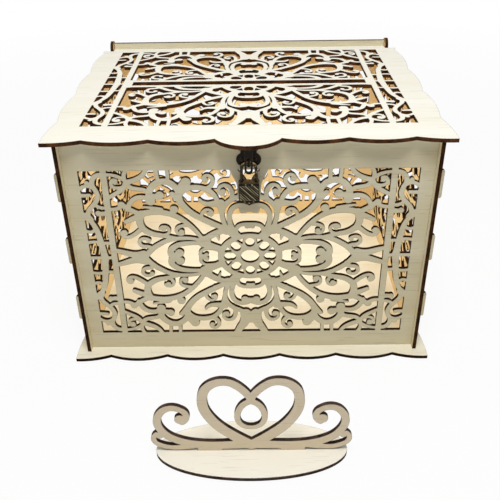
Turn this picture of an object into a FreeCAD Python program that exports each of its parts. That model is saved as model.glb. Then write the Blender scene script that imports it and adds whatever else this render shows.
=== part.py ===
import FreeCAD, Part
import math
import os

# Wedding card box: a pierced plywood box with a pivoting lid, a small hasp and
# padlock on the front, and the oval table sign that stands in front of it.
# Frame: the front faces -Y, +Z is up, the origin is the centre of the base's underside.
# All sizes are in millimetres.

os.makedirs("parts", exist_ok=True)

Vector = FreeCAD.Vector
ORIGIN = Vector(0, 0, 0)
X_AXIS = Vector(1, 0, 0)
Y_AXIS = Vector(0, 1, 0)
Z_AXIS = Vector(0, 0, 1)

# Plywood box
ply = 3.0
box_width = 285.0
box_depth = 258.0
wall_height = 192.0
reveal = 6.0
glue_gap = 0.1

# Tabs that join the panels
side_tab_count = 3
side_tab_height = 23.5
side_tab_pitch = 56.0
side_tab_lift = 3.0
side_tab_reach = 4.0
side_tab_corner = 1.5
floor_tab_length = 25.0
floor_tab_spacing = 127.0
lid_tab_length = 30.0
lid_tab_spacing = 84.0

# Scalloped base and lid plates
plate_width = 301.6
plate_depth = 277.0
front_scallop_pitch = 48.6
front_scallop_rise = 5.0
side_scallop_pitch = 63.3
side_scallop_rise = 3.2
lid_setback = 7.3
lid_nose_rise = 14.5

# Lid pivot
ear_rise = 1.6
pivot_fit = 0.08
lid_side_play = 0.4
lid_swing_gap = 0.5
rail_upstand = 5.9
rail_swing_gap = 0.38
tenon_proud = 0.5

# Pierced ornament
field_half_width = 106.8
divider = 5.0
column_width = 16.5
wall_field_half_height = 76.5
wall_field_margin = 16.0
lid_field_half_height = 102.5
lid_field_margin = 13.8
card_slot_length = 206.0
card_slot_width = 9.8
card_slot_rail = 4.6
smallest_hole = 4.0

# Hasp
hasp_metal = 0.8
hasp_width = 14.0
hasp_stand = 10.0
leaf_depth = 5.6
knuckle_radius = 1.5
knuckle_drop = 0.3
strap_half_width = 3.0
strap_length = 20.4
strap_slot_width = 3.0
strap_slot_length = 11.0
strap_slot_rim = 2.0
knuckle_gap = 0.2
hinge_pin_radius = 0.7
hinge_pin_fit = 0.05

# Staple on the front panel
staple_height = 180.3
plate_end_radius = 5.3
plate_end_offset = 4.0
plate_neck_half_width = 6.1
plate_neck_rise = 10.7
staple_screw_offset = 5.0
loop_thickness = 2.0
loop_half_height = 4.5
loop_bar = 1.6
loop_reach = 8.0

# Screws
screw_head_radius = 1.6
screw_head_top = 1.1
screw_head_height = 0.8
screw_groove = 0.35
screw_shank_radius = 0.8
screw_bite = 2.4
screw_fit = 0.05
leaf_screw_offset = 4.6

# Padlock
shackle_radius = 1.15
shackle_half_width = 5.45
shackle_shoulder = 4.6
shackle_rise = 15.0
shackle_seat_gap = 0.3
shackle_bore_fit = 0.1
heel_depth = 13.6
toe_depth = 9.6
case_width = 15.8
case_height = 16.0
case_thickness = 5.6
case_corner = 1.2
cover_thickness = 0.7
rib_count = 14
rib_height = 0.45
rib_width = 0.5
rib_border = 0.8
rib_band = 1.8
rivet_radius = 0.5
rivet_inset = 0.9
rivet_top_offset = 2.4
rivet_bottom_offset = 3.4
rivet_head = 0.25

# Key plug and the notch of the shackle
plug_radius = 2.2
plug_length = 7.4
plug_fit = 0.1
plug_proud = 0.2
keyway_width = 0.8
keyway_length = 2.8
keyway_depth = 3.0
bore_end_gap = 0.2
notch_rise = 7.4
notch_height = 2.0
notch_depth = 0.95

# Table sign
sign_gap = 73.5
sign_half_length = 69.5
sign_half_depth = 27.0
sign_tab_length = 18.0
sign_tab_spacing = 60.0

# Places worked out from the sizes above
base_top = ply
lid_bottom = base_top + wall_height
lid_top = lid_bottom + ply
inner_half_width = box_width / 2 - ply
panel_mid = box_depth / 2 - reveal - ply / 2
front_face = -panel_mid - ply / 2
pivot_y = panel_mid
pivot_z = lid_bottom + ply / 2
tenon_reach = math.hypot(ply / 2, ply / 2)
ear_radius = reveal + ply / 2
rail_front = pivot_y - ply / 2
rail_half_length = inner_half_width - lid_side_play
lid_shoulder = pivot_y - ear_radius - ear_rise - lid_swing_gap
back_top = pivot_z - tenon_reach - rail_swing_gap
wall_field_centre = base_top + wall_field_margin + wall_field_half_height
lid_field_centre = rail_front - lid_field_margin - lid_field_half_height
pattern_half_width = field_half_width + divider + column_width
lid_front = lid_setback - plate_depth / 2
hasp_y = front_face - hasp_stand
hasp_z = lid_bottom - knuckle_radius - knuckle_drop
leaf_screw_y = hasp_y - (knuckle_radius + leaf_depth) / 2
loop_centre_y = front_face - loop_reach + loop_half_height
hang_room = loop_half_height - loop_bar - shackle_radius - shackle_seat_gap
hang_y = loop_centre_y - hang_room * math.sqrt(0.5)
hang_z = staple_height - hang_room * math.sqrt(0.5)
case_top = hang_z - shackle_rise
case_bottom = case_top - case_height
sign_y = -plate_depth / 2 - sign_gap - sign_half_depth


def rectangle(x0, y0, x1, y1):
    corners = [Vector(x0, y0, 0), Vector(x1, y0, 0), Vector(x1, y1, 0), Vector(x0, y1, 0)]
    return Part.Face(Part.makePolygon(corners + corners[:1]))


def round_face(x, y, radius):
    return Part.Face(Part.Wire(Part.Circle(Vector(x, y, 0), Z_AXIS, radius).toShape()))


def oval_face(half_x, half_y):
    flat = Part.Ellipse(ORIGIN, max(half_x, half_y), min(half_x, half_y)).toShape()
    if half_y > half_x:
        flat.rotate(ORIGIN, Z_AXIS, 90)
    return Part.Face(Part.Wire(flat))


def arc_edge(start, middle, end):
    # A nearly straight run becomes a line, because three points in line have no circle.
    bow = abs((middle - start).cross(end - middle).z)
    if bow < 0.01 * (end - start).Length:
        return Part.LineSegment(start, end).toShape()
    return Part.Arc(start, middle, end).toShape()


def joined(shapes):
    faces = [face for shape in shapes for face in shape.Faces]
    return faces[0].multiFuse(faces[1:]).removeSplitter()


def sheet(face, thickness=ply):
    return face.extrude(Z_AXIS * thickness)


def stood(solid, across, up, place):
    # Turns a flat drawing so that its X runs along across and its Y along up.
    turn = FreeCAD.Rotation(across, up, across.cross(up), "XYZ")
    placed = solid.copy()
    placed.Placement = FreeCAD.Placement(place, turn)
    return placed


def drilled(solid, holes):
    return solid.cut(Part.makeCompound(holes))


def save(name, *solids):
    shape = solids[0] if len(solids) == 1 else Part.makeCompound(solids)
    shape.exportStep("parts/" + name + ".step")


# Scrollwork. A stroke is a tapering band along a smooth line with round ends.
# Its points are given in percent of the field, and its widths in millimetres.

ARC_TURN = 45.0

MAIN_STROKES = [
    # Pointed leaf along the horizontal axis: tulip, small tulip, its lobe, outer ogee and stalk
    ([(30, 14), (38, 16.8), (45, 17), (52, 15.6), (57.6, 11.4), (59.6, 5.6), (57.4, 0)], 2.6, 5.8),
    ([(22, 9.6), (30, 9.7), (35.2, 8.9), (37.2, 5.4), (36.6, 0)], 2.0, 3.0),
    ([(33.6, 1.4), (35, 1.4), (36.6, 1.4)], 3.0, 3.0),
    ([(54.5, 2.4), (56.5, 2.4), (59, 3)], 5.0, 5.0),
    ([(33, 18.4), (42, 22.2), (52, 22.8), (60, 20.9), (66, 17), (72.4, 10.8), (78, 3), (80, -2)], 2.8, 5.0),
    ([(80, 4.2), (88, 3.6), (94, 6), (102, 9.2)], 6.8, 3.6),
    # Scrolls between the leaf and the divider
    ([(73, 9), (76.5, 13.2), (80.4, 14.2), (82.2, 18.4), (80.4, 22.4), (77, 22.8), (74.6, 21.2)], 3.6, 2.6),
    ([(54, 22.8), (62, 25.4), (70, 28.2), (76, 31.2), (79.6, 37.5), (80.2, 45), (78.5, 52)], 3.0, 6.4),
    ([(34.5, 19.5), (38, 27), (46, 41.6), (51, 47), (58, 51.6), (66, 54), (74, 54), (80.4, 51)], 3.4, 5.4),
    ([(71, 28.8), (64.5, 27), (59.8, 29.6), (59.8, 35), (63.8, 37), (66, 34.6)], 3.0, 2.4),
    ([(44, 38.5), (50.2, 37.4), (54, 33.5), (53, 28.6), (49.2, 28)], 3.4, 2.4),
    ([(79, 35), (83, 30.4), (87.3, 26.2), (92, 25), (94.6, 28.8), (92, 31.8)], 3.8, 2.8),
    ([(79.5, 49.6), (86, 46), (90.5, 43)], 5.4, 3.6),
    ([(79.5, 52), (86, 56.6), (91, 62)], 4.4, 4.2),
    ([(91.4, 62.4), (94.4, 59), (102, 58)], 3.6, 3.0),
    ([(64, 56.5), (70, 58.6), (76.4, 60)], 4.0, 1.8),
    # Corner spray
    ([(87, 88), (89.4, 81.4), (94.4, 75.8), (102, 70)], 4.2, 3.2),
    ([(71.5, 75.5), (76.5, 79.4), (82, 80.6), (87, 87)], 3.4, 4.0),
    ([(71, 67.5), (77, 70.8), (82.5, 69), (86.6, 62.5), (88, 57)], 4.0, 4.0),
    ([(88.6, 84), (93, 81.4), (97.4, 84), (97, 89.4), (93.8, 89.8)], 3.0, 2.6),
    ([(71.6, 103), (74.6, 95.6), (80, 90.4), (87, 87.6)], 3.4, 4.4),
    ([(87, 87), (88, 94.5), (84.6, 103)], 3.6, 3.0),
    ([(87.6, 89.6), (94, 94.6), (102, 96)], 3.4, 2.6),
    # Long stem with its thorn, its bowl and the two feet below it
    ([(20, 35), (30, 42), (40.5, 51), (47.8, 61), (50.6, 73), (48, 82), (45, 87.6)], 4.6, 5.6),
    ([(48.5, 62), (52.6, 69), (56.4, 75)], 4.4, 2.0),
    ([(51, 70), (53, 73), (55, 75.4)], 4.6, 2.4),
    ([(50.4, 72), (52, 81), (59.5, 88), (67, 85), (71.2, 77), (71, 68)], 5.0, 5.4),
    ([(70, 72), (66.5, 71.6), (63.8, 72.6)], 5.0, 5.0),
    ([(57.6, 87), (57.2, 95), (57.6, 103)], 3.2, 2.8),
    ([(64, 86), (64.8, 95), (65, 103)], 3.2, 2.8),
    # Scrolls below the long stem
    ([(32.4, 44), (34.2, 52.5), (30.6, 56.2), (27, 53.2), (28, 49.6)], 3.0, 2.4),
    ([(20.5, 63.5), (26, 62.8), (31.5, 63.2), (35.6, 67.6)], 6.4, 2.4),
    ([(20.2, 52), (23, 66), (28, 77), (37.5, 81.2), (45, 79.4), (50.2, 72.4)], 3.6, 4.8),
    ([(33, 80.4), (26.6, 84), (26, 90.8), (29.6, 94.2), (32.4, 90.8)], 4.0, 2.6),
    # Pointed leaf along the vertical axis: ogee, heart, cup and its tongue, curl and stalk
    ([(16, 32), (19.2, 43), (20, 53), (16.5, 63), (8, 70.4), (0, 76.5), (-2, 78)], 3.6, 4.2),
    ([(8, 25), (13.6, 37), (14.8, 47), (12.6, 56.5), (8, 60.4), (3, 59.6), (-1, 56)], 4.0, 4.2),
    ([(10, 31), (8, 37), (3.5, 38.8), (-2, 39)], 3.4, 3.0),
    ([(-2, 36), (0.4, 36), (2.4, 35.6)], 3.0, 2.6),
    ([(14.4, 65.4), (12.6, 77), (15.8, 83), (21, 80.8), (21.4, 74.8), (18.4, 73.6)], 4.0, 2.4),
    ([(4, 75), (4.6, 83), (6.4, 90), (8.8, 95), (12, 103)], 9.6, 5.0),
    ([(-2, 84), (0, 84), (2, 84)], 5.6, 5.6),
    # Leafy knot on the diagonal, tied to the rosette
    ([(34.5, 19.5), (28.8, 25.6), (23, 29.8), (16, 32.5)], 5.6, 5.0),
    ([(23, 9.5), (29, 13.5), (35, 18)], 6.0, 5.0),
    ([(10, 22), (13, 27), (17, 33)], 5.0, 5.0),
    ([(20, 36.6), (24, 37.2), (28, 37.8)], 3.4, 1.8),
    ([(25, 28), (23.6, 24), (23, 20.6)], 3.6, 1.4),
]

# Round ends of the scrolls: place in percent of the field, and radius
MAIN_BUDS = [
    (53, 4.9, 3.65), (32.8, 2.6, 1.9), (75.2, 20.4, 1.9), (63.4, 34.2, 2.1), (50.2, 30.6, 2.2),
    (92, 29.8, 2.3), (92.2, 62.4, 3.0), (54.6, 56.6, 3.4), (71, 66.5, 3.8), (64, 72.8, 3.4),
    (29.4, 51.4, 1.9), (31, 89.6, 2.2), (44.8, 87, 3.9), (4.4, 55.8, 3.3), (18.6, 76.4, 2.2),
    (34, 18.5, 5.4), (17.2, 32.6, 4.4), (94.8, 87.6, 2.1),
]

COLUMN_STROKES = [
    # Winding vine and the short twigs that tie it to both edges
    ([(32, -3), (36, 10), (43, 24), (60, 38), (80, 48), (104, 52)], 6.0, 3.6),
    ([(76, 46), (90, 49), (104, 50)], 6.0, 7.0),
    ([(80, 48), (66, 59), (40, 65), (24, 75), (42, 85), (34, 92), (-6, 95.5)], 3.8, 4.0),
    ([(46, 64), (22, 60), (-6, 59.5)], 3.2, 2.8),
    ([(36, 81), (64, 84), (104, 80.5)], 3.4, 3.0),
    ([(104, 73.6), (82, 73.4), (62, 73.8)], 3.6, 2.8),
    ([(60, 34), (82, 31.5), (104, 33)], 3.0, 2.8),
    ([(38, 18), (70, 19.5), (104, 18.5)], 3.0, 2.8),
    ([(38, 17), (14, 18), (-6, 17.5)], 3.0, 2.8),
    ([(-6, 0), (36, 0), (104, 0)], 3.0, 3.0),
    ([(-6, 53), (16, 52.6), (30, 53)], 4.6, 3.6),
]

COLUMN_BUDS = [(32, 53, 2.5), (66, 87, 2.0)]

# Rosette in the middle of the field, as shares of its half sizes
ROSETTE = (0.243, 0.278)
ROSETTE_PETALS = 8
HUB_HOLE = 0.285
PETAL_START = 0.43
PETAL_MIDDLE = 0.62
PETAL_END = 0.81
PETAL_HALF_ANGLE = 13.5
GUSSET_START = 0.6
GUSSET_END = 0.81
GUSSET_HALF_ANGLE = 8.5


def stroke(points, first_width, last_width, place):
    line = Part.BSplineCurve()
    line.interpolate([place(u, v) for u, v in points])
    headings = [line.tangent(line.parameter(p))[0] for p in line.discretize(Number=40)]
    turn = sum(math.degrees(a.getAngle(b)) for a, b in zip(headings, headings[1:]))
    steps = 2 * max(2, math.ceil(turn / ARC_TURN))
    left = []
    right = []
    for i, point in enumerate(line.discretize(Number=steps + 1)):
        heading = line.tangent(line.parameter(point))[0]
        half_width = (first_width + (last_width - first_width) * i / steps) / 2
        side = Z_AXIS.cross(heading) * half_width
        left.append(point + side)
        right.append(point - side)
        if i == 0:
            tail = point - heading * half_width
        tip = point + heading * half_width
    left.reverse()
    edges = [arc_edge(*right[i:i + 3]) for i in range(0, steps, 2)]
    edges.append(arc_edge(right[-1], tip, left[0]))
    edges += [arc_edge(*left[i:i + 3]) for i in range(0, steps, 2)]
    edges.append(arc_edge(left[-1], tail, right[0]))
    return Part.Face(Part.Wire(edges))


def spray(strokes, buds, place):
    faces = [stroke(points, first, last, place) for points, first, last in strokes]
    for u, v, radius in buds:
        centre = place(u, v)
        faces.append(round_face(centre.x, centre.y, radius))
    return faces


def mirrored_spray(strokes, buds, start_x, end_x, half_height):
    faces = []
    for side in (1, -1):
        for level in (1, -1):
            def place(u, v):
                x = start_x + u * (end_x - start_x) / 100
                return Vector(side * x, level * v * half_height / 100, 0)
            faces += spray(strokes, buds, place)
    return faces


def rosette_holes(half_x, half_y):
    def polar(share, angle):
        turn = math.radians(angle)
        return Vector(share * half_x * math.cos(turn), share * half_y * math.sin(turn), 0)

    holes = [oval_face(HUB_HOLE * half_x, HUB_HOLE * half_y)]
    pitch = 360.0 / ROSETTE_PETALS
    for i in range(ROSETTE_PETALS):
        angle = i * pitch
        one_side = polar(PETAL_MIDDLE, angle - PETAL_HALF_ANGLE)
        other_side = polar(PETAL_MIDDLE, angle + PETAL_HALF_ANGLE)
        outer_end = arc_edge(one_side, polar(PETAL_END, angle), other_side)
        inner_end = arc_edge(other_side, polar(PETAL_START, angle), one_side)
        holes.append(Part.Face(Part.Wire([outer_end, inner_end])))
        between = angle + pitch / 2
        first = polar(GUSSET_END, between - GUSSET_HALF_ANGLE)
        last = polar(GUSSET_END, between + GUSSET_HALF_ANGLE)
        point = polar(GUSSET_START, between)
        rim = arc_edge(first, polar(GUSSET_END, between), last)
        sides = [Part.LineSegment(last, point).toShape(), Part.LineSegment(point, first).toShape()]
        holes.append(Part.Face(Part.Wire([rim] + sides)))
    return holes


def main_field_holes(half_height, bridge=None):
    half_x = ROSETTE[0] * field_half_width
    half_y = ROSETTE[1] * half_height
    wood = mirrored_spray(MAIN_STROKES, MAIN_BUDS, 0, field_half_width, half_height)
    wood.append(oval_face(half_x, half_y))
    middle = Part.makeCompound(rosette_holes(half_x, half_y))
    if bridge:
        wood.append(bridge)
        middle = middle.cut(bridge)
    field = rectangle(-field_half_width, -half_height, field_half_width, half_height)
    return open_faces(field.cut(wood)) + open_faces(middle)


def column_holes(half_height):
    start = field_half_width + divider
    end = start + column_width
    wood = mirrored_spray(COLUMN_STROKES, COLUMN_BUDS, start, end, half_height)
    columns = [rectangle(-end, -half_height, -start, half_height)]
    columns.append(rectangle(start, -half_height, end, half_height))
    return open_faces(Part.makeCompound(columns).cut(wood))


def open_faces(holes):
    # Gaps too small to cut are left as wood.
    return [face for face in holes.Faces if face.Area > smallest_hole]


def pierced(face, holes):
    return drilled(face, holes).Faces[0]


def moved(faces, x, y):
    shifted = [face.copy() for face in faces]
    for face in shifted:
        face.translate(Vector(x, y, 0))
    return shifted


# Plywood panels

def scallops(half_length, pitch, rise):
    # Stations along an edge and how far the edge stands back at each: corner, middle, cusp, and so on.
    full = 2 * math.floor((half_length - pitch / 2) / pitch) + 1
    first_cusp = -full * pitch / 2
    end_middle = (first_cusp - half_length) / 2
    off_centre = (end_middle - first_cusp + pitch / 2) / (pitch / 2)
    stations = [(-half_length, 0), (end_middle, rise * off_centre ** 2), (first_cusp, rise)]
    for i in range(full):
        stations.append((first_cusp + (i + 0.5) * pitch, 0))
        stations.append((first_cusp + (i + 1) * pitch, rise))
    stations.append((-end_middle, rise * off_centre ** 2))
    stations.append((half_length, 0))
    return stations


def scalloped_plate():
    half_x = plate_width / 2
    half_y = plate_depth / 2
    front = scallops(half_x, front_scallop_pitch, front_scallop_rise)
    side = scallops(half_y, side_scallop_pitch, side_scallop_rise)
    outline = [Vector(s, -half_y + inset, 0) for s, inset in front]
    outline += [Vector(half_x - inset, s, 0) for s, inset in side[1:]]
    outline += [Vector(-s, half_y - inset, 0) for s, inset in front[1:]]
    outline += [Vector(-half_x + inset, -s, 0) for s, inset in side[1:]]
    edges = [arc_edge(*outline[i:i + 3]) for i in range(0, len(outline) - 1, 2)]
    return Part.Face(Part.Wire(edges))


def floor_slots():
    half_slot = floor_tab_length / 2 + glue_gap
    half_ply = ply / 2 + glue_gap
    side_mid = box_width / 2 - ply / 2
    slots = []
    for shift in (-floor_tab_spacing / 2, floor_tab_spacing / 2):
        for line in (-1, 1):
            y = line * panel_mid
            x = line * side_mid
            slots.append(rectangle(shift - half_slot, y - half_ply, shift + half_slot, y + half_ply))
            slots.append(rectangle(x - half_ply, shift - half_slot, x + half_ply, shift + half_slot))
    return slots


def make_base_plate():
    return sheet(drilled(scalloped_plate(), floor_slots()))


def floor_tabs():
    tabs = []
    half = floor_tab_length / 2
    for shift in (-floor_tab_spacing / 2, floor_tab_spacing / 2):
        tabs.append(rectangle(shift - half, 0, shift + half, base_top + ply))
    return tabs


def side_tab_levels():
    middle = base_top + wall_height / 2 + side_tab_lift
    return [middle + (i - (side_tab_count - 1) / 2) * side_tab_pitch for i in range(side_tab_count)]


def side_tab(level, side):
    root = inner_half_width - ply
    reach = box_width / 2 + side_tab_reach
    half = side_tab_height / 2
    inset = side_tab_corner
    slant = inset * (1 - math.sqrt(0.5))
    low = [Vector(reach - inset, -half, 0)]
    low += [Vector(reach - slant, slant - half, 0), Vector(reach, inset - half, 0)]
    high = [Vector(point.x, -point.y, 0) for point in reversed(low)]
    edges = [Part.LineSegment(Vector(root, -half, 0), low[0]).toShape(), Part.Arc(*low).toShape()]
    edges += [Part.LineSegment(low[2], high[0]).toShape(), Part.Arc(*high).toShape()]
    edges.append(Part.LineSegment(high[2], Vector(root, half, 0)).toShape())
    edges.append(Part.LineSegment(Vector(root, half, 0), Vector(root, -half, 0)).toShape())
    tab = Part.Face(Part.Wire(edges))
    if side < 0:
        tab.rotate(ORIGIN, Z_AXIS, 180)
    tab.translate(Vector(0, level, 0))
    return tab


def wall_outline(top):
    faces = [rectangle(-inner_half_width, base_top, inner_half_width, top)] + floor_tabs()
    for level in side_tab_levels():
        faces += [side_tab(level, 1), side_tab(level, -1)]
    return joined(faces).Faces[0]


def wall_sheet(top, ornament, mid):
    flat = pierced(wall_outline(top), moved(ornament, 0, wall_field_centre))
    return stood(sheet(flat), X_AXIS, Z_AXIS, Vector(0, mid + ply / 2, 0))


def make_front_panel(ornament):
    panel = wall_sheet(lid_bottom, ornament, -panel_mid)
    return drilled(panel, screw_holes(staple_screw_seats(), Y_AXIS))


def make_back_panel(ornament):
    return wall_sheet(back_top, ornament, panel_mid)


def side_outline():
    half = box_depth / 2
    body = rectangle(-half, base_top, half, lid_bottom)
    ear_top = pivot_z + ear_rise
    neck = rectangle(pivot_y - ear_radius, lid_bottom - ply, pivot_y + ear_radius, ear_top)
    ear = round_face(pivot_y, ear_top, ear_radius)
    outline = joined([body, neck, ear] + floor_tabs())
    cuts = [round_face(pivot_y, pivot_z, tenon_reach + pivot_fit)]
    half_slot = side_tab_height / 2 + glue_gap
    half_ply = ply / 2 + glue_gap
    for level in side_tab_levels():
        for y in (-panel_mid, panel_mid):
            cuts.append(rectangle(y - half_ply, level - half_slot, y + half_ply, level + half_slot))
    return drilled(outline, cuts).Faces[0]


def make_side_sheet(ornament):
    return sheet(pierced(side_outline(), moved(ornament, 0, wall_field_centre)))


def place_side_panel(flat, side):
    low_x = side * (box_width / 2 - ply / 2) - ply / 2
    return stood(flat, Y_AXIS, Z_AXIS, Vector(low_x, 0, 0))


def lid_tab_places():
    return [-lid_tab_spacing, 0, lid_tab_spacing]


def make_lid_panel(ornament):
    plate = scalloped_plate()
    plate.translate(Vector(0, lid_setback, 0))
    behind = rectangle(-plate_width, lid_shoulder, plate_width, lid_shoulder + plate_depth)
    tongue = rectangle(-rail_half_length, lid_shoulder - ply, rail_half_length, rail_front)
    cusp_y = lid_front + front_scallop_rise
    left_cusp = Vector(-front_scallop_pitch / 2, cusp_y, 0)
    right_cusp = Vector(front_scallop_pitch / 2, cusp_y, 0)
    bow = Part.Arc(left_cusp, Vector(0, cusp_y - lid_nose_rise, 0), right_cusp).toShape()
    nose = Part.Face(Part.Wire([bow, Part.LineSegment(right_cusp, left_cusp).toShape()]))
    half_tab = lid_tab_length / 2
    tabs = []
    for x in lid_tab_places():
        tabs.append(rectangle(x - half_tab, rail_front - ply, x + half_tab, rail_front + ply))
    outline = joined([plate.cut(behind), tongue, nose] + tabs).Faces[0]
    half_slot = card_slot_length / 2
    slot = rectangle(-half_slot, -card_slot_width / 2, half_slot, card_slot_width / 2)
    panel = sheet(pierced(outline, moved(ornament + [slot], 0, lid_field_centre)))
    panel.translate(Vector(0, 0, lid_bottom))
    return drilled(panel, screw_holes(leaf_screw_seats(), Z_AXIS))


def make_hinge_rail():
    top = lid_top + rail_upstand
    tenon_end = box_width / 2 + tenon_proud
    strip = rectangle(-rail_half_length, lid_bottom, rail_half_length, top)
    tenons = rectangle(-tenon_end, lid_bottom, tenon_end, lid_top)
    half_notch = lid_tab_length / 2 + glue_gap
    notches = []
    for x in lid_tab_places():
        notches.append(rectangle(x - half_notch, lid_bottom - ply, x + half_notch, lid_top))
    flat = drilled(joined([strip, tenons]), notches)
    return stood(sheet(flat), X_AXIS, Z_AXIS, Vector(0, rail_front + ply, 0))


# Hasp, screws and staple

def leaf_screw_places():
    return [-leaf_screw_offset, leaf_screw_offset]


def staple_screw_places():
    return [-staple_screw_offset, staple_screw_offset]


def screw_holes(places, into):
    depth = hasp_metal + screw_bite + screw_fit
    return [Part.makeCylinder(screw_shank_radius + screw_fit, depth, place, into) for place in places]


def leaf_screw_seats():
    return [Vector(x, leaf_screw_y, lid_bottom - hasp_metal) for x in leaf_screw_places()]


def staple_screw_seats():
    return [Vector(x, front_face - hasp_metal, staple_height) for x in staple_screw_places()]


def screw(seat, into):
    # The head stands off the metal plate, and the shank goes through it into the wood.
    length = hasp_metal + screw_bite
    shank = Part.makeCylinder(screw_shank_radius, length, seat, into)
    head = Part.makeCone(screw_head_radius, screw_head_top, screw_head_height, seat, into * -1)
    groove = Part.makeBox(2 * screw_head_radius, screw_groove, screw_groove)
    groove.translate(Vector(-screw_head_radius, -screw_groove / 2, screw_head_height - screw_groove))
    turned = FreeCAD.Placement(seat, FreeCAD.Rotation(Z_AXIS, into * -1))
    groove.Placement = turned.multiply(groove.Placement)
    return shank.fuse(head).cut(groove)


def make_leaf_screws():
    return [screw(seat, Z_AXIS) for seat in leaf_screw_seats()]


def make_staple_screws():
    return [screw(seat, Y_AXIS) for seat in staple_screw_seats()]


def barrel(x0, x1, radius):
    return Part.makeCylinder(radius, x1 - x0, Vector(x0, hasp_y, hasp_z), X_AXIS)


def make_hasp_leaf():
    half = hasp_width / 2
    gap = strap_half_width + knuckle_gap
    plate = sheet(rectangle(-half, hasp_y - leaf_depth, half, hasp_y), hasp_metal)
    plate.translate(Vector(0, 0, lid_bottom - hasp_metal))
    room = Part.makeBox(2 * gap, knuckle_radius * 2, wall_height)
    room.translate(Vector(-gap, hasp_y - knuckle_radius - knuckle_drop, base_top))
    web_y = hasp_y - hasp_metal / 2
    web = Part.makeBox(hasp_width, hasp_metal, lid_bottom - hasp_z, Vector(-half, web_y, hasp_z))
    leaf = plate.fuse([web, barrel(-half, half, knuckle_radius)])
    space = barrel(-gap, gap, knuckle_radius + knuckle_drop)
    holes = [barrel(-half, half, hinge_pin_radius)] + screw_holes(leaf_screw_seats(), Z_AXIS)
    return drilled(leaf, [room, space] + holes).removeSplitter()


def make_hinge_pin():
    return barrel(-hasp_width / 2, hasp_width / 2, hinge_pin_radius)


def make_hasp_strap():
    half = strap_half_width
    end = round_face(0, -strap_length + half, half)
    flat = joined([rectangle(-half, -strap_length + half, half, 0), end])
    slot_low = -strap_length + strap_slot_rim + strap_slot_width / 2
    slot_high = slot_low + strap_slot_length - strap_slot_width
    slot_half = strap_slot_width / 2
    slot = joined([
        rectangle(-slot_half, slot_low, slot_half, slot_high),
        round_face(0, slot_low, slot_half),
        round_face(0, slot_high, slot_half),
    ])
    blade = sheet(flat.cut(slot), hasp_metal)
    blade = stood(blade, X_AXIS, Z_AXIS, Vector(0, hasp_y + hasp_metal / 2, hasp_z))
    knuckle = barrel(-half, half, knuckle_radius)
    bore = barrel(-half, half, hinge_pin_radius + hinge_pin_fit)
    return blade.fuse(knuckle).cut(bore).removeSplitter()


def make_staple_plate():
    ends = [round_face(x, 0, plate_end_radius) for x in (-plate_end_offset, plate_end_offset)]
    middle = rectangle(-plate_end_offset, -plate_end_radius, plate_end_offset, plate_end_radius)
    neck = rectangle(-plate_neck_half_width, 0, plate_neck_half_width, plate_neck_rise)
    flat = joined(ends + [middle, neck])
    plate = stood(sheet(flat, hasp_metal), X_AXIS, Z_AXIS, Vector(0, front_face, staple_height))
    return drilled(plate, screw_holes(staple_screw_seats(), Y_AXIS))


def make_staple_loop():
    # Drawn with its reach along X, then turned so that it stands out of the front panel.
    root = -front_face + hasp_metal
    centre = -loop_centre_y
    outer = joined([
        rectangle(root, -loop_half_height, centre, loop_half_height),
        round_face(centre, 0, loop_half_height),
    ])
    eye_half = loop_half_height - loop_bar
    eye = joined([rectangle(root - ply, -eye_half, centre, eye_half), round_face(centre, 0, eye_half)])
    reach = rectangle(root, -loop_reach, 2 * centre, loop_reach)
    loop = sheet(outer.cut(eye).common(reach), loop_thickness)
    return stood(loop, Y_AXIS * -1, Z_AXIS, Vector(loop_thickness / 2, 0, staple_height))


# Padlock

def make_shackle():
    side = shackle_half_width
    shoulder = shackle_shoulder
    flat = side - shoulder
    toe_end = case_top - toe_depth
    heel_end = case_top - heel_depth
    bend = shoulder * math.sqrt(0.5)
    low = hang_z - shoulder

    def at(x, z):
        return Vector(x, hang_y, z)

    path = Part.Wire([
        Part.LineSegment(at(-side, heel_end), at(-side, low)).toShape(),
        Part.Arc(at(-side, low), at(-flat - bend, low + bend), at(-flat, hang_z)).toShape(),
        Part.LineSegment(at(-flat, hang_z), at(flat, hang_z)).toShape(),
        Part.Arc(at(flat, hang_z), at(flat + bend, low + bend), at(side, low)).toShape(),
        Part.LineSegment(at(side, low), at(side, toe_end)).toShape(),
    ])
    section = Part.Wire(Part.Circle(at(-side, heel_end), Z_AXIS, shackle_radius).toShape())
    wire = path.makePipeShell([section], True, False)
    notch = Part.makeBox(shackle_radius, 2 * shackle_radius, notch_height)
    notch_x = side - shackle_radius - (shackle_radius - notch_depth)
    notch.translate(Vector(notch_x, hang_y - shackle_radius, case_bottom + notch_rise))
    return wire.cut(notch)


def case_slab(thickness, front):
    # A slab of the case's outline; front is its outer face towards the viewer.
    half = case_width / 2
    slab = Part.makeBox(case_width, thickness, case_height, Vector(-half, front, case_bottom))
    upright = [edge for edge in slab.Edges if edge.BoundBox.YLength > thickness / 2]
    return slab.makeFillet(case_corner, upright)


def case_front():
    return hang_y - case_thickness / 2


def rivet_places():
    low = case_bottom + rivet_inset
    high = case_top - rivet_inset
    bottom = [(-rivet_bottom_offset, low), (rivet_bottom_offset, low)]
    return bottom + [(-rivet_top_offset, high), (rivet_top_offset, high)]


def rivet_bore(x, z, front, length):
    return Part.makeCylinder(rivet_radius, length, Vector(x, front, z), Y_AXIS)


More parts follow.
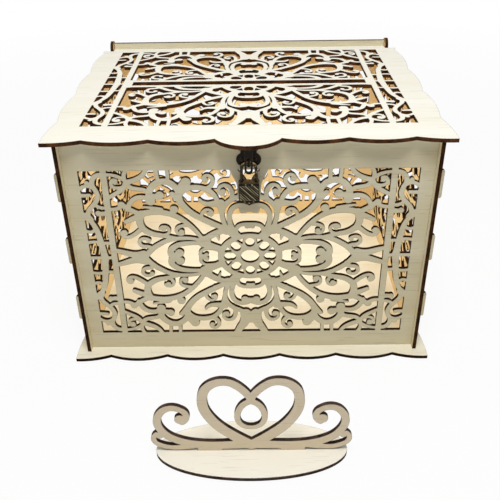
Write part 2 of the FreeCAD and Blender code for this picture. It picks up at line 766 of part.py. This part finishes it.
def make_case():
    slab = case_slab(case_thickness, case_front())
    bore_radius = shackle_radius + shackle_bore_fit
    legs = []
    for x, depth in ((-shackle_half_width, heel_depth), (shackle_half_width, toe_depth)):
        mouth = Vector(x, hang_y, case_top)
        legs.append(Part.makeCylinder(bore_radius, depth + bore_end_gap, mouth, Z_AXIS * -1))
    keyhole = Vector(0, hang_y, case_bottom)
    plug_bore = Part.makeCylinder(plug_radius + plug_fit, plug_length + plug_fit, keyhole, Z_AXIS)
    rivets = [rivet_bore(x, z, case_front(), case_thickness) for x, z in rivet_places()]
    return drilled(slab, legs + [plug_bore] + rivets)


def make_front_cover():
    front = case_front() - cover_thickness
    cover = case_slab(cover_thickness, front)
    half_x = case_width / 2 - rib_border
    low = case_bottom + rib_band
    high = case_top - rib_band
    window = Part.makeBox(2 * half_x, rib_height, high - low, Vector(-half_x, front - rib_height, low))
    span = case_width + case_height
    pitch = span / (rib_count + 1)
    ribs = []
    for i in range(rib_count):
        corner = Vector(-rib_width / 2, front - rib_height, -span)
        rib = Part.makeBox(rib_width, rib_height, 2 * span, corner)
        rib.rotate(ORIGIN, Y_AXIS, -45)
        shift = (i - (rib_count - 1) / 2) * pitch
        rib.translate(Vector(shift, 0, (low + high) / 2))
        ribs.append(rib.common(window))
    border = case_slab(rib_height, front - rib_height).cut(window)
    holes = [rivet_bore(x, z, front - ply, 2 * ply) for x, z in rivet_places()]
    return drilled(cover.fuse(ribs + [border]).removeSplitter(), holes)


def make_back_cover():
    back = case_front() + case_thickness
    cover = case_slab(cover_thickness, back)
    return drilled(cover, [rivet_bore(x, z, back, cover_thickness) for x, z in rivet_places()])


def make_rivets():
    front = case_front() - cover_thickness - rib_height - rivet_head
    length = case_thickness + 2 * cover_thickness + rib_height + rivet_head
    return [rivet_bore(x, z, front, length) for x, z in rivet_places()]


def make_key_plug():
    bottom = Vector(0, hang_y, case_bottom - plug_proud)
    plug = Part.makeCylinder(plug_radius, plug_length + plug_proud, bottom, Z_AXIS)
    keyway = Part.makeBox(keyway_width, keyway_length, keyway_depth)
    keyway.translate(bottom + Vector(-keyway_width / 2, -keyway_length / 2, 0))
    return plug.cut(keyway)


# Table sign: a heart between scrolls, in millimetres from the middle of its foot

SIGN_STROKES = [
    ([(0, 5), (20, 21), (33, 42), (30, 61), (17, 66), (5, 58), (-1, 48)], 9.0, 5.5),
    ([(-2, 6), (20, 5), (44, 7), (62, 17), (66, 33), (56, 42), (46, 36), (49, 28)], 8.5, 4.5),
    ([(30, 5), (48, 3.6), (62, 4), (70, 10), (68, 17)], 6.0, 3.6),
    ([(0, 48), (9, 38), (8, 27), (0, 23)], 5.0, 3.6),
]
SIGN_BUDS = [(50, 31, 4.2), (66, 15, 2.8)]


def sign_tab_places():
    return [-sign_tab_spacing / 2, sign_tab_spacing / 2]


def make_sign_base():
    half = sign_tab_length / 2 + glue_gap
    half_ply = ply / 2 + glue_gap
    slots = [rectangle(x - half, -half_ply, x + half, half_ply) for x in sign_tab_places()]
    base = sheet(drilled(oval_face(sign_half_length, sign_half_depth), slots))
    base.translate(Vector(0, sign_y, 0))
    return base


def make_sign_ornament():
    def left(x, z):
        return Vector(-x, z + base_top, 0)

    def right(x, z):
        return Vector(x, z + base_top, 0)

    half = sign_tab_length / 2
    tabs = [rectangle(x - half, 0, x + half, 2 * ply) for x in sign_tab_places()]
    flat = joined(spray(SIGN_STROKES, SIGN_BUDS, left) + spray(SIGN_STROKES, SIGN_BUDS, right) + tabs)
    below = rectangle(-plate_width, -plate_width, plate_width, base_top)
    flat = joined([flat.cut(below)] + tabs)
    return stood(sheet(flat), X_AXIS, Z_AXIS, Vector(0, sign_y + ply / 2, 0))


def main():
    wall_holes = main_field_holes(wall_field_half_height)
    wall_columns = column_holes(wall_field_half_height)
    bridge_half = card_slot_width / 2 + card_slot_rail
    bridge = rectangle(-field_half_width, -bridge_half, field_half_width, bridge_half)
    lid_holes = main_field_holes(lid_field_half_height, bridge) + column_holes(lid_field_half_height)

    save("base_plate", make_base_plate())
    save("front_panel", make_front_panel(wall_holes + wall_columns))
    save("back_panel", make_back_panel(wall_holes + wall_columns))
    side_sheet = make_side_sheet(wall_holes)
    save("left_side_panel", place_side_panel(side_sheet, -1))
    save("right_side_panel", place_side_panel(side_sheet, 1))
    save("lid_panel", make_lid_panel(lid_holes))
    save("hinge_rail", make_hinge_rail())

    save("hasp_leaf", make_hasp_leaf())
    save("hasp_leaf_screws", *make_leaf_screws())
    save("hasp_hinge_pin", make_hinge_pin())
    save("hasp_strap", make_hasp_strap())
    save("staple_plate", make_staple_plate())
    save("staple_screws", *make_staple_screws())
    save("staple_loop", make_staple_loop())

    save("padlock_shackle", make_shackle())
    save("padlock_case", make_case())
    save("padlock_front_cover", make_front_cover())
    save("padlock_back_cover", make_back_cover())
    save("padlock_rivets", *make_rivets())
    save("padlock_key_plug", make_key_plug())

    save("sign_base", make_sign_base())
    save("sign_ornament", make_sign_ornament())


main()
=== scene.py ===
import math

import bpy
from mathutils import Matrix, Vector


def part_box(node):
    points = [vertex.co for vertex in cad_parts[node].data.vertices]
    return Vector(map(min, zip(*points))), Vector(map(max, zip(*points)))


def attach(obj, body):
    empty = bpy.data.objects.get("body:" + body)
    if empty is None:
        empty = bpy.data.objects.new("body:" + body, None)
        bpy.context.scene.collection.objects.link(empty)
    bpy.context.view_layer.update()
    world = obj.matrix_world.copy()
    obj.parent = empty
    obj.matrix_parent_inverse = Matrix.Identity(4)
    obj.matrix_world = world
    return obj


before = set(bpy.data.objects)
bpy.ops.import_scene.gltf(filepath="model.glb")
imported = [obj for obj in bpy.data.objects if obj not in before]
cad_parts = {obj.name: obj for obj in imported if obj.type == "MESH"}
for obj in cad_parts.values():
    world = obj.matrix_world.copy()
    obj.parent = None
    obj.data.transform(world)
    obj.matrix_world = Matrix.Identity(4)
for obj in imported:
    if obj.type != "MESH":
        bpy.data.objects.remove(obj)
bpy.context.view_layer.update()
scene = bpy.context.scene
scene.view_settings.view_transform = "Standard"

X, Y, Z = 0, 1, 2
AXES = ((1, 0, 0), (0, 1, 0), (0, 0, 1))
WHITE = (1, 1, 1, 1)


# Node helpers

def srgb(red, green, blue):
    def linear(value):
        value = value / 255
        return value / 12.92 if value <= 0.04045 else ((value + 0.055) / 1.055) ** 2.4
    return (linear(red), linear(green), linear(blue), 1.0)


class Shader:
    """The node tree of one material or world, with short ways to add and link nodes."""

    def __init__(self, owner, kind="Material"):
        self.owner = owner
        owner.use_nodes = True
        self.tree = owner.node_tree
        self.tree.nodes.clear()
        self.output = self.tree.nodes.new("ShaderNodeOutput" + kind)

    def feed(self, socket, value):
        if isinstance(value, bpy.types.NodeSocket):
            self.tree.links.new(value, socket)
        else:
            socket.default_value = value

    def add(self, kind, inputs=None, **settings):
        node = self.tree.nodes.new("ShaderNode" + kind)
        for key, value in settings.items():
            setattr(node, key, value)
        for key, value in (inputs or {}).items():
            self.feed(node.inputs[key], value)
        return node

    def math(self, operation, first, second=0.0, clamp=False):
        return self.add("Math", {0: first, 1: second}, operation=operation, use_clamp=clamp).outputs[0]

    def times(self, first, second, clamp=False):
        return self.math("MULTIPLY", first, second, clamp)

    def plus(self, first, second, clamp=False):
        return self.math("ADD", first, second, clamp)

    def minus(self, first, second, clamp=False):
        return self.math("SUBTRACT", first, second, clamp)

    def larger(self, first, second, clamp=False):
        return self.math("MAXIMUM", first, second, clamp)

    def above(self, value, level):
        return self.math("GREATER_THAN", value, level)

    def below(self, value, level):
        return self.math("LESS_THAN", value, level)

    def rise(self, value, start, slope):
        """0 up to start, then rising by slope as far as 1."""
        return self.times(self.minus(value, start, clamp=True), slope, clamp=True)

    def vector(self, operation, first, second=(0, 0, 0)):
        return self.add("VectorMath", {0: first, 1: second}, operation=operation).outputs[0]

    def dot(self, first, second):
        return self.add("VectorMath", {0: first, 1: second}, operation="DOT_PRODUCT").outputs["Value"]

    def along(self, vector, axis):
        return self.add("SeparateXYZ", {0: vector}).outputs[axis]

    def mix(self, factor, first, second):
        # Sockets by number, because the node has others of the same names for other kinds of value
        node = self.add("Mix", data_type="RGBA")
        self.feed(node.inputs[0], factor)
        self.feed(node.inputs[6], first)
        self.feed(node.inputs[7], second)
        return node.outputs[2]

    def ramp(self, factor, ends, first, last):
        node = self.add("ValToRGB", {0: factor})
        for element, place, colour in zip(node.color_ramp.elements, ends, (first, last)):
            element.position = place
            element.color = colour
        return node.outputs[0]

    def noise(self, place, scale, detail=3.0, stretch=(1, 1, 1)):
        mapped = self.add("Mapping", {"Vector": place, "Scale": stretch}).outputs[0]
        return self.add("TexNoise", {"Vector": mapped, "Scale": scale, "Detail": detail}).outputs["Fac"]

    def rounded_normal(self, radius):
        return self.add("Bevel", {"Radius": radius}, samples=4).outputs[0]

    def bump(self, height, strength, distance):
        return self.add("Bump", {"Height": height, "Strength": strength, "Distance": distance}).outputs[0]

    def surface(self, shader):
        self.tree.links.new(shader.outputs[0], self.output.inputs["Surface"])
        return self.owner


def new_material(name):
    return Shader(bpy.data.materials.new(name))


# Laser-cut birch plywood: pale grain on the faces, scorched cut edges, a rim of scorch and painted shade
# beside the cuts, and painted bounce light on the inner faces

# Marks of the wood, in marks per metre
BROAD_GRAIN = 34.0
GRAIN_BANDS = 170.0
FIBRES = 620.0
CLOUDS = 9.0
SCORCH_SPOTS = 160.0
GRAIN_STRETCH = 0.05

# How strongly the marks show
BROAD_ENDS = (0.3, 0.72)
CLOUD_STRENGTH = 0.25
BAND_START = 0.48
BAND_SLOPE = 2.0
PORE_LEVEL = 0.63
PORE_STRENGTH = 0.3
PORE_SHADE = 0.7
INSIDE_GRAIN = 0.8
FIBRE_BUMP = 0.12
FIBRE_HEIGHT = 0.0004

# The warmer inner faces, painted warm bounce light from inside the box, start behind the outside of the
# front wall
FRONT_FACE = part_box("front_panel")[0][Y]

# Cut edges, in metres
HALF_PLY = 0.0005
GLUE_LINE = 0.00012
SCORCH_AND_SHADE_RADIUS = 0.0009

# Colours and strengths of the cut edges, and of the rim beside them, which is partly scorch and partly
# painted shade
GLUE = srgb(18, 9, 4)
GLUE_STRENGTH = 0.45
SCORCH_AND_SHADE_BROWN = srgb(64, 38, 17)
SCORCH_AND_SHADE_STRENGTH = 2.2
SCORCH_ENDS = (0.3, 0.75)

FACE_ROUGHNESS = 0.62
ROUGHER_EDGE = 0.33
WOOD_SPECULAR = 0.12

# A face looks along the sheet's thickness, and an edge looks across it
FACE_LEVEL = 0.5


def grain_noise(shader, place, grain):
    streak = [1.0, 1.0, 1.0]
    streak[grain] = GRAIN_STRETCH
    broad = shader.noise(place, BROAD_GRAIN, 4.0, streak)
    bands = shader.noise(place, GRAIN_BANDS, 4.0, streak)
    fibre = shader.noise(place, FIBRES, 3.0, streak)
    return broad, bands, fibre


def birch_face(shader, place, broad, bands, fibre, pale, deep):
    cloud = shader.times(shader.noise(place, CLOUDS, 2.0), CLOUD_STRENGTH)
    pores = shader.times(shader.above(fibre, PORE_LEVEL), PORE_STRENGTH)
    pore_colour = tuple(PORE_SHADE * part for part in deep[:3]) + (1.0,)
    face = shader.ramp(broad, BROAD_ENDS, deep, pale)
    face = shader.mix(cloud, face, deep)
    face = shader.mix(shader.rise(bands, BAND_START, BAND_SLOPE), face, deep)
    return shader.mix(pores, face, pore_colour)


def cut_edge(shader, place, thickness, cut):
    darkest, lightest = cut
    edge = shader.ramp(shader.noise(place, SCORCH_SPOTS, 3.0), SCORCH_ENDS, darkest, lightest)
    depth_in_ply = shader.math("PINGPONG", shader.along(place, thickness), HALF_PLY)
    return shader.mix(shader.times(shader.below(depth_in_ply, GLUE_LINE), GLUE_STRENGTH), edge, GLUE)


# A darker brown rim on the faces along each cut: partly laser scorch, partly painted shade beside the
# edges
def scorch_and_shade_rim(shader, thickness):
    rounded = shader.rounded_normal(SCORCH_AND_SHADE_RADIUS)
    own_space = {"vector_type": "NORMAL", "convert_from": "WORLD", "convert_to": "OBJECT"}
    local = shader.add("VectorTransform", {0: rounded}, **own_space).outputs[0]
    level = shader.math("ABSOLUTE", shader.dot(local, AXES[thickness]))
    return shader.times(shader.minus(1.0, level, clamp=True), SCORCH_AND_SHADE_STRENGTH, clamp=True)


# thickness is the axis through the sheet, and grain is the axis that the fibres follow; inside is the
# painted warm bounce light on the faces inside the box
def birch(name, thickness, grain, pale, deep, cut, inside=None, inside_sign=0):
    shader = new_material(name)
    coords = shader.add("TexCoord")
    place = coords.outputs["Object"]
    across = shader.dot(coords.outputs["Normal"], AXES[thickness])
    is_edge = shader.below(shader.math("ABSOLUTE", across), FACE_LEVEL)

    broad, bands, fibre = grain_noise(shader, place, grain)
    face = birch_face(shader, place, broad, bands, fibre, pale, deep)
    # Faces inside the box get painted warm bounce light
    if inside:
        facing_in = shader.above(shader.times(across, inside_sign), FACE_LEVEL)
        in_box = shader.times(facing_in, shader.above(shader.along(place, Y), FRONT_FACE))
        painted_bounce_face = shader.mix(shader.times(broad, INSIDE_GRAIN), inside, deep)
        face = shader.mix(in_box, face, painted_bounce_face)
    # Scorch and painted shade along the cut edges
    face = shader.mix(scorch_and_shade_rim(shader, thickness), face, SCORCH_AND_SHADE_BROWN)
    colour = shader.mix(is_edge, face, cut_edge(shader, place, thickness, cut))

    return shader.surface(shader.add("BsdfPrincipled", {
        "Base Color": colour,
        "Roughness": shader.plus(shader.times(is_edge, ROUGHER_EDGE), FACE_ROUGHNESS),
        "Specular IOR Level": WOOD_SPECULAR,
        "Normal": shader.bump(fibre, FIBRE_BUMP, FIBRE_HEIGHT),
    }))


# Old metal: a dark coat worn through to the metal on the corners, with a painted highlight in the metal's
# colour on faces that look up

# Marks of the metal, in marks per metre
MOTTLE = 420.0
GRIME = 1500.0
RIB_WEAR_AND_GLINT = 760.0

# Worn corners and patches
WEAR_RADIUS = 0.0005
CORNER_STRENGTH = 3.0
CORNER_EVENNESS = 0.35
PATCH_LEVEL = 0.62

# Surfaces that face up get a painted highlight in the bare metal's colour, and the tops of slanting ribs
# are rubbed and carry painted glints
UPWARD_START = 0.35
UPWARD_STRENGTH = 1.5
RIB_SLANT = math.radians(45)
RIB_STRETCH = (1.0, 0.0, 0.05)
RIB_WEAR_AND_GLINT_START = 0.42
RIB_WEAR_AND_GLINT_SLOPE = 5.0
CORNERS_BESIDE_RIBS = 0.4

DIRT = srgb(20, 17, 13)
DIRT_STRENGTH = 0.6
ROUGHER_GRIME = 0.3
COAT_METALLIC = 0.85
DULLER_WEAR_AND_HIGHLIGHT = 0.6
MOTTLE_BUMP = 0.15
MOTTLE_HEIGHT = 0.0003


def worn_corners(shader, mottle, wear):
    flat = shader.add("NewGeometry").outputs["Normal"]
    bend = shader.dot(shader.rounded_normal(WEAR_RADIUS), flat)
    corners = shader.times(shader.minus(1.0, bend, clamp=True), CORNER_STRENGTH, clamp=True)
    corners = shader.times(corners, shader.plus(mottle, CORNER_EVENNESS), clamp=True)
    patches = shader.times(shader.above(mottle, PATCH_LEVEL), wear)
    return shader.plus(corners, patches, clamp=True)


# Painted highlight: faces that look up take the bare metal's colour, by the given share
def painted_top_highlight(shader, normal, top_highlight):
    upward = shader.minus(shader.along(normal, Z), UPWARD_START, clamp=True)
    return shader.times(shader.times(upward, UPWARD_STRENGTH), top_highlight)


# Brighter streaks on some rib tops: partly rubbed metal, partly painted glints
def ribs_rubbed_and_glinting(shader, place, middle, reach):
    offset = shader.vector("SUBTRACT", place, middle)
    share = shader.vector("ABSOLUTE", shader.vector("DIVIDE", offset, reach))
    widest = shader.larger(shader.along(share, X), shader.along(share, Y))
    widest = shader.larger(widest, shader.along(share, Z))
    turned = shader.add("Mapping", {"Vector": place, "Rotation": (0, RIB_SLANT, 0)}).outputs[0]
    rib_wear_and_glint = shader.noise(turned, RIB_WEAR_AND_GLINT, 0.0, RIB_STRETCH)
    return shader.times(shader.below(widest, 1.0), shader.rise(rib_wear_and_glint, RIB_WEAR_AND_GLINT_START, RIB_WEAR_AND_GLINT_SLOPE))


def old_metal(name, coat, bare_and_highlight, rough, wear, top_highlight, ribs=None):
    shader = new_material(name)
    coords = shader.add("TexCoord")
    place = coords.outputs["Object"]
    mottle = shader.noise(place, MOTTLE, 5.0)
    grime = shader.noise(place, GRIME, 3.0)

    wear_and_highlight = worn_corners(shader, mottle, wear)
    # Worn corners and patches, plus the painted highlight on faces that look up; where it lies the metal
    # is also less metallic, so it shows brighter
    wear_and_highlight = shader.larger(wear_and_highlight, painted_top_highlight(shader, coords.outputs["Normal"], top_highlight), clamp=True)
    if ribs:
        wear_and_highlight = shader.times(wear_and_highlight, CORNERS_BESIDE_RIBS)
        wear_and_highlight = shader.plus(wear_and_highlight, ribs_rubbed_and_glinting(shader, place, *ribs), clamp=True)
    dirty_coat = shader.mix(shader.times(grime, DIRT_STRENGTH), coat, DIRT)

    return shader.surface(shader.add("BsdfPrincipled", {
        "Base Color": shader.mix(wear_and_highlight, dirty_coat, bare_and_highlight),
        "Metallic": shader.minus(COAT_METALLIC, shader.times(wear_and_highlight, DULLER_WEAR_AND_HIGHLIGHT)),
        "Roughness": shader.plus(shader.times(grime, ROUGHER_GRIME), rough),
        "Normal": shader.bump(mottle, MOTTLE_BUMP, MOTTLE_HEIGHT),
    }))


# Finish of each piece; the base, lid, front and sign foot colours also hold painted light and shade

PALE = srgb(247, 241, 217)
DEEP = srgb(230, 217, 180)
# Painted warm bounce light for the faces inside the box
PAINTED_BOUNCE_AMBER = srgb(246, 208, 148)
# The base's colours are paler than the walls, though it is the same birch: painted light, so that the
# floor inside the box and the lip read bright
BASE_PALE_PAINTED_LIGHT = srgb(251, 247, 230)
BASE_DEEP_PAINTED_LIGHT = srgb(241, 232, 206)
# The lid's colours are paler and whiter than the walls, though it is the same birch: painted light on the
# top that faces the softbox
LID_PALE_PAINTED_LIGHT = srgb(251, 249, 239)
LID_DEEP_PAINTED_LIGHT = srgb(245, 240, 222)
# The front wall's colours are darker and greyer than the other walls, though it is the same birch:
# painted shade on the wall under the lid's overhang
FRONT_PALE_PAINTED_SHADE = srgb(240, 233, 206)
FRONT_DEEP_PAINTED_SHADE = srgb(222, 210, 175)
# The sign foot's colours are near white, though it is the same birch: painted light on its lit top face
FOOT_PALE_PAINTED_LIGHT = srgb(255, 252, 241)
FOOT_DEEP_PAINTED_LIGHT = srgb(251, 245, 228)
SIGN_PALE = srgb(249, 235, 209)
SIGN_DEEP = srgb(240, 222, 191)

# The darkest and the lightest brown of a scorched cut
DARK_CUT = (srgb(22, 12, 4), srgb(56, 32, 13))
SIDE_CUT = (srgb(34, 18, 5), srgb(84, 48, 18))
LID_CUT = (srgb(46, 27, 12), srgb(112, 70, 38))
SIGN_CUT = (srgb(44, 32, 26), srgb(92, 72, 62))

WOOD = {
    "base_plate": birch("birch_base", Z, X, BASE_PALE_PAINTED_LIGHT, BASE_DEEP_PAINTED_LIGHT, DARK_CUT),
    "lid_panel": birch("birch_lid", Z, X, LID_PALE_PAINTED_LIGHT, LID_DEEP_PAINTED_LIGHT, LID_CUT, PAINTED_BOUNCE_AMBER, -1),
    "front_panel": birch("birch_front", Y, X, FRONT_PALE_PAINTED_SHADE, FRONT_DEEP_PAINTED_SHADE, DARK_CUT, PAINTED_BOUNCE_AMBER, 1),
    "back_panel": birch("birch_back", Y, X, PALE, DEEP, SIDE_CUT, PAINTED_BOUNCE_AMBER, -1),
    "left_side_panel": birch("birch_left", X, Y, PALE, DEEP, SIDE_CUT, PAINTED_BOUNCE_AMBER, 1),
    "right_side_panel": birch("birch_right", X, Y, PALE, DEEP, SIDE_CUT, PAINTED_BOUNCE_AMBER, -1),
    "hinge_rail": birch("birch_rail", Y, X, PALE, DEEP, SIDE_CUT),
    "sign_base": birch("birch_sign_base", Z, X, FOOT_PALE_PAINTED_LIGHT, FOOT_DEEP_PAINTED_LIGHT, SIGN_CUT),
    "sign_ornament": birch("birch_sign", Y, X, SIGN_PALE, SIGN_DEEP, SIGN_CUT),
}

# The tops of the cover's ribs: a thin box just inside its rim
RIM_SIDE = 0.0009
RIM_END = 0.0019
RIB_TOP = 0.0002
low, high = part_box("padlock_front_cover")
rib_middle = ((low[X] + high[X]) / 2, low[Y], (low[Z] + high[Z]) / 2)
rib_reach = ((high[X] - low[X]) / 2 - RIM_SIDE, RIB_TOP, (high[Z] - low[Z]) / 2 - RIM_END)
rib_tops = (rib_middle, rib_reach)

# The bare colours show on worn corners and also serve as the painted highlight on faces that look up
IRON_COAT = srgb(30, 26, 22)
IRON_BARE_AND_HIGHLIGHT = srgb(110, 90, 58)
BRONZE_COAT = srgb(42, 36, 25)
BRONZE_BARE_AND_HIGHLIGHT = srgb(150, 128, 84)
RIBBED_COAT = srgb(14, 12, 9)
RIBBED_BARE_AND_HIGHLIGHT = srgb(190, 178, 138)
BRASS_COAT = srgb(54, 43, 26)
BRASS_BARE_AND_HIGHLIGHT = srgb(250, 228, 172)

IRON = old_metal("blackened_iron_worn_painted_highlight", IRON_COAT, IRON_BARE_AND_HIGHLIGHT, rough=0.26, wear=0.08, top_highlight=0.1)
BRONZE = old_metal("antique_bronze_worn_painted_highlight", BRONZE_COAT, BRONZE_BARE_AND_HIGHLIGHT, rough=0.28, wear=0.15, top_highlight=0.4)
RIBBED = old_metal("antique_bronze_ribbed", RIBBED_COAT, RIBBED_BARE_AND_HIGHLIGHT, rough=0.24, wear=0.05, top_highlight=0.3,
                   ribs=rib_tops)
BRASS = old_metal("aged_brass_worn_painted_highlight", BRASS_COAT, BRASS_BARE_AND_HIGHLIGHT, rough=0.14, wear=0.2, top_highlight=1.4)

METAL = {
    "hasp_leaf": IRON,
    "hasp_leaf_screws": IRON,
    "hasp_hinge_pin": IRON,
    "hasp_strap": IRON,
    "staple_plate": IRON,
    "staple_screws": IRON,
    "staple_loop": IRON,
    "padlock_case": BRONZE,
    "padlock_front_cover": RIBBED,
    "padlock_back_cover": BRONZE,
    "padlock_shackle": BRASS,
    "padlock_key_plug": BRASS,
    "padlock_rivets": BRASS,
}

for looks in (WOOD, METAL):
    for node_name, material in looks.items():
        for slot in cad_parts[node_name].material_slots:
            slot.material = material


# Stage: white floor that keeps the shadow, white world that gives soft light from above

# The floor is matt enough for a shadow around the object and fades to plain white further out
FLOOR_REACH = 6.0
FLOOR_DROP = 0.0002
FLOOR_GREY = (0.9, 0.9, 0.9, 1)
FLOOR_FADE = {"From Min": 0.35, "From Max": 1.2, "To Min": 0.9, "To Max": 1.0}
SKY_UP = (0, 0.5, 0.866)
SKY_FADE = {"From Min": -0.1, "To Min": 0.03, "To Max": 0.68}


def seen_directly(shader):
    path = shader.add("LightPath").outputs
    seen = shader.larger(path["Is Camera Ray"], path["Is Glossy Ray"])
    return shader.larger(seen, path["Is Transmission Ray"])


def floor_material():
    shader = new_material("pale_floor")
    matt = shader.add("BsdfDiffuse", {"Color": FLOOR_GREY}).outputs[0]
    glow = shader.add("Emission", {"Color": WHITE, "Strength": 1.0}).outputs[0]
    place = shader.add("TexCoord").outputs["Object"]
    distance = shader.add("VectorMath", {0: place}, operation="LENGTH").outputs["Value"]
    white_share = shader.add("MapRange", {"Value": distance, **FLOOR_FADE}).outputs[0]
    share = shader.times(seen_directly(shader), white_share)
    return shader.surface(shader.add("MixShader", {0: share, 1: matt, 2: glow}))


def make_floor():
    corners = [(x * FLOOR_REACH, y * FLOOR_REACH, 0) for x, y in ((-1, -1), (1, -1), (1, 1), (-1, 1))]
    mesh = bpy.data.meshes.new("floor")
    mesh.from_pydata(corners, [], [(0, 1, 2, 3)])
    mesh.materials.append(floor_material())
    floor = bpy.data.objects.new("floor", mesh)
    floor.location.z = -FLOOR_DROP
    scene.collection.objects.link(floor)


def make_world():
    scene.world = bpy.data.worlds.new("studio")
    shader = Shader(scene.world, "World")
    upward = shader.dot(shader.add("TexCoord").outputs["Generated"], SKY_UP)
    daylight = shader.add("MapRange", {"Value": upward, **SKY_FADE}).outputs[0]
    strength = shader.larger(daylight, seen_directly(shader))
    shader.surface(shader.add("Background", {"Color": WHITE, "Strength": strength}))


make_floor()
make_world()


# Lamps: a softbox above, and a faint fill for the light that enters through the pierced walls

SOFTBOX_PLACE = (0.03, -0.45, 1.2)
SOFTBOX_TARGET = (0, -0.20, 0.0)
SOFTBOX_SIZE = 0.4
SOFTBOX_WATTS = 8.0
FILL_PLACE = (0, 0, 0.185)
FILL_TARGET = (0, 0, 0)
FILL_SIZE = 0.2
FILL_WATTS = 0.26
FILL_COLOUR = (0.92, 0.98, 1.0)


def area_light(name, place, target, size, energy):
    data = bpy.data.lights.new(name, "AREA")
    data.size = size
    data.energy = energy
    lamp = bpy.data.objects.new(name, data)
    lamp.location = target
    aim = lamp.location.copy()
    lamp.location = place
    aim -= lamp.location
    lamp.rotation_euler = aim.to_track_quat("-Z", "Y").to_euler()
    scene.collection.objects.link(lamp)
    return lamp


area_light("softbox_above", SOFTBOX_PLACE, SOFTBOX_TARGET, SOFTBOX_SIZE, SOFTBOX_WATTS)

inside_fill = area_light("fill_below_lid", FILL_PLACE, FILL_TARGET, FILL_SIZE, FILL_WATTS)
inside_fill.data.color = FILL_COLOUR
inside_fill.visible_camera = False
inside_fill.visible_glossy = False
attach(inside_fill, "lid")


# Camera at the photograph's view, fitted to the corners of the box

CAMERA_PLACE = (0.0043, -0.5787, 0.3820)
CAMERA_TURN_DEGREES = (58.386, 0.754, 0.081)
CAMERA_LENS = 48.114
CAMERA_SENSOR = 36.0
CAMERA_CLIP_START = 0.01

camera_data = bpy.data.cameras.new("camera")
camera_data.lens = CAMERA_LENS
camera_data.sensor_width = CAMERA_SENSOR
camera_data.clip_start = CAMERA_CLIP_START
camera = bpy.data.objects.new("camera", camera_data)
camera.location = CAMERA_PLACE
camera.rotation_euler = [math.radians(turn) for turn in CAMERA_TURN_DEGREES]
scene.collection.objects.link(camera)
scene.camera = camera
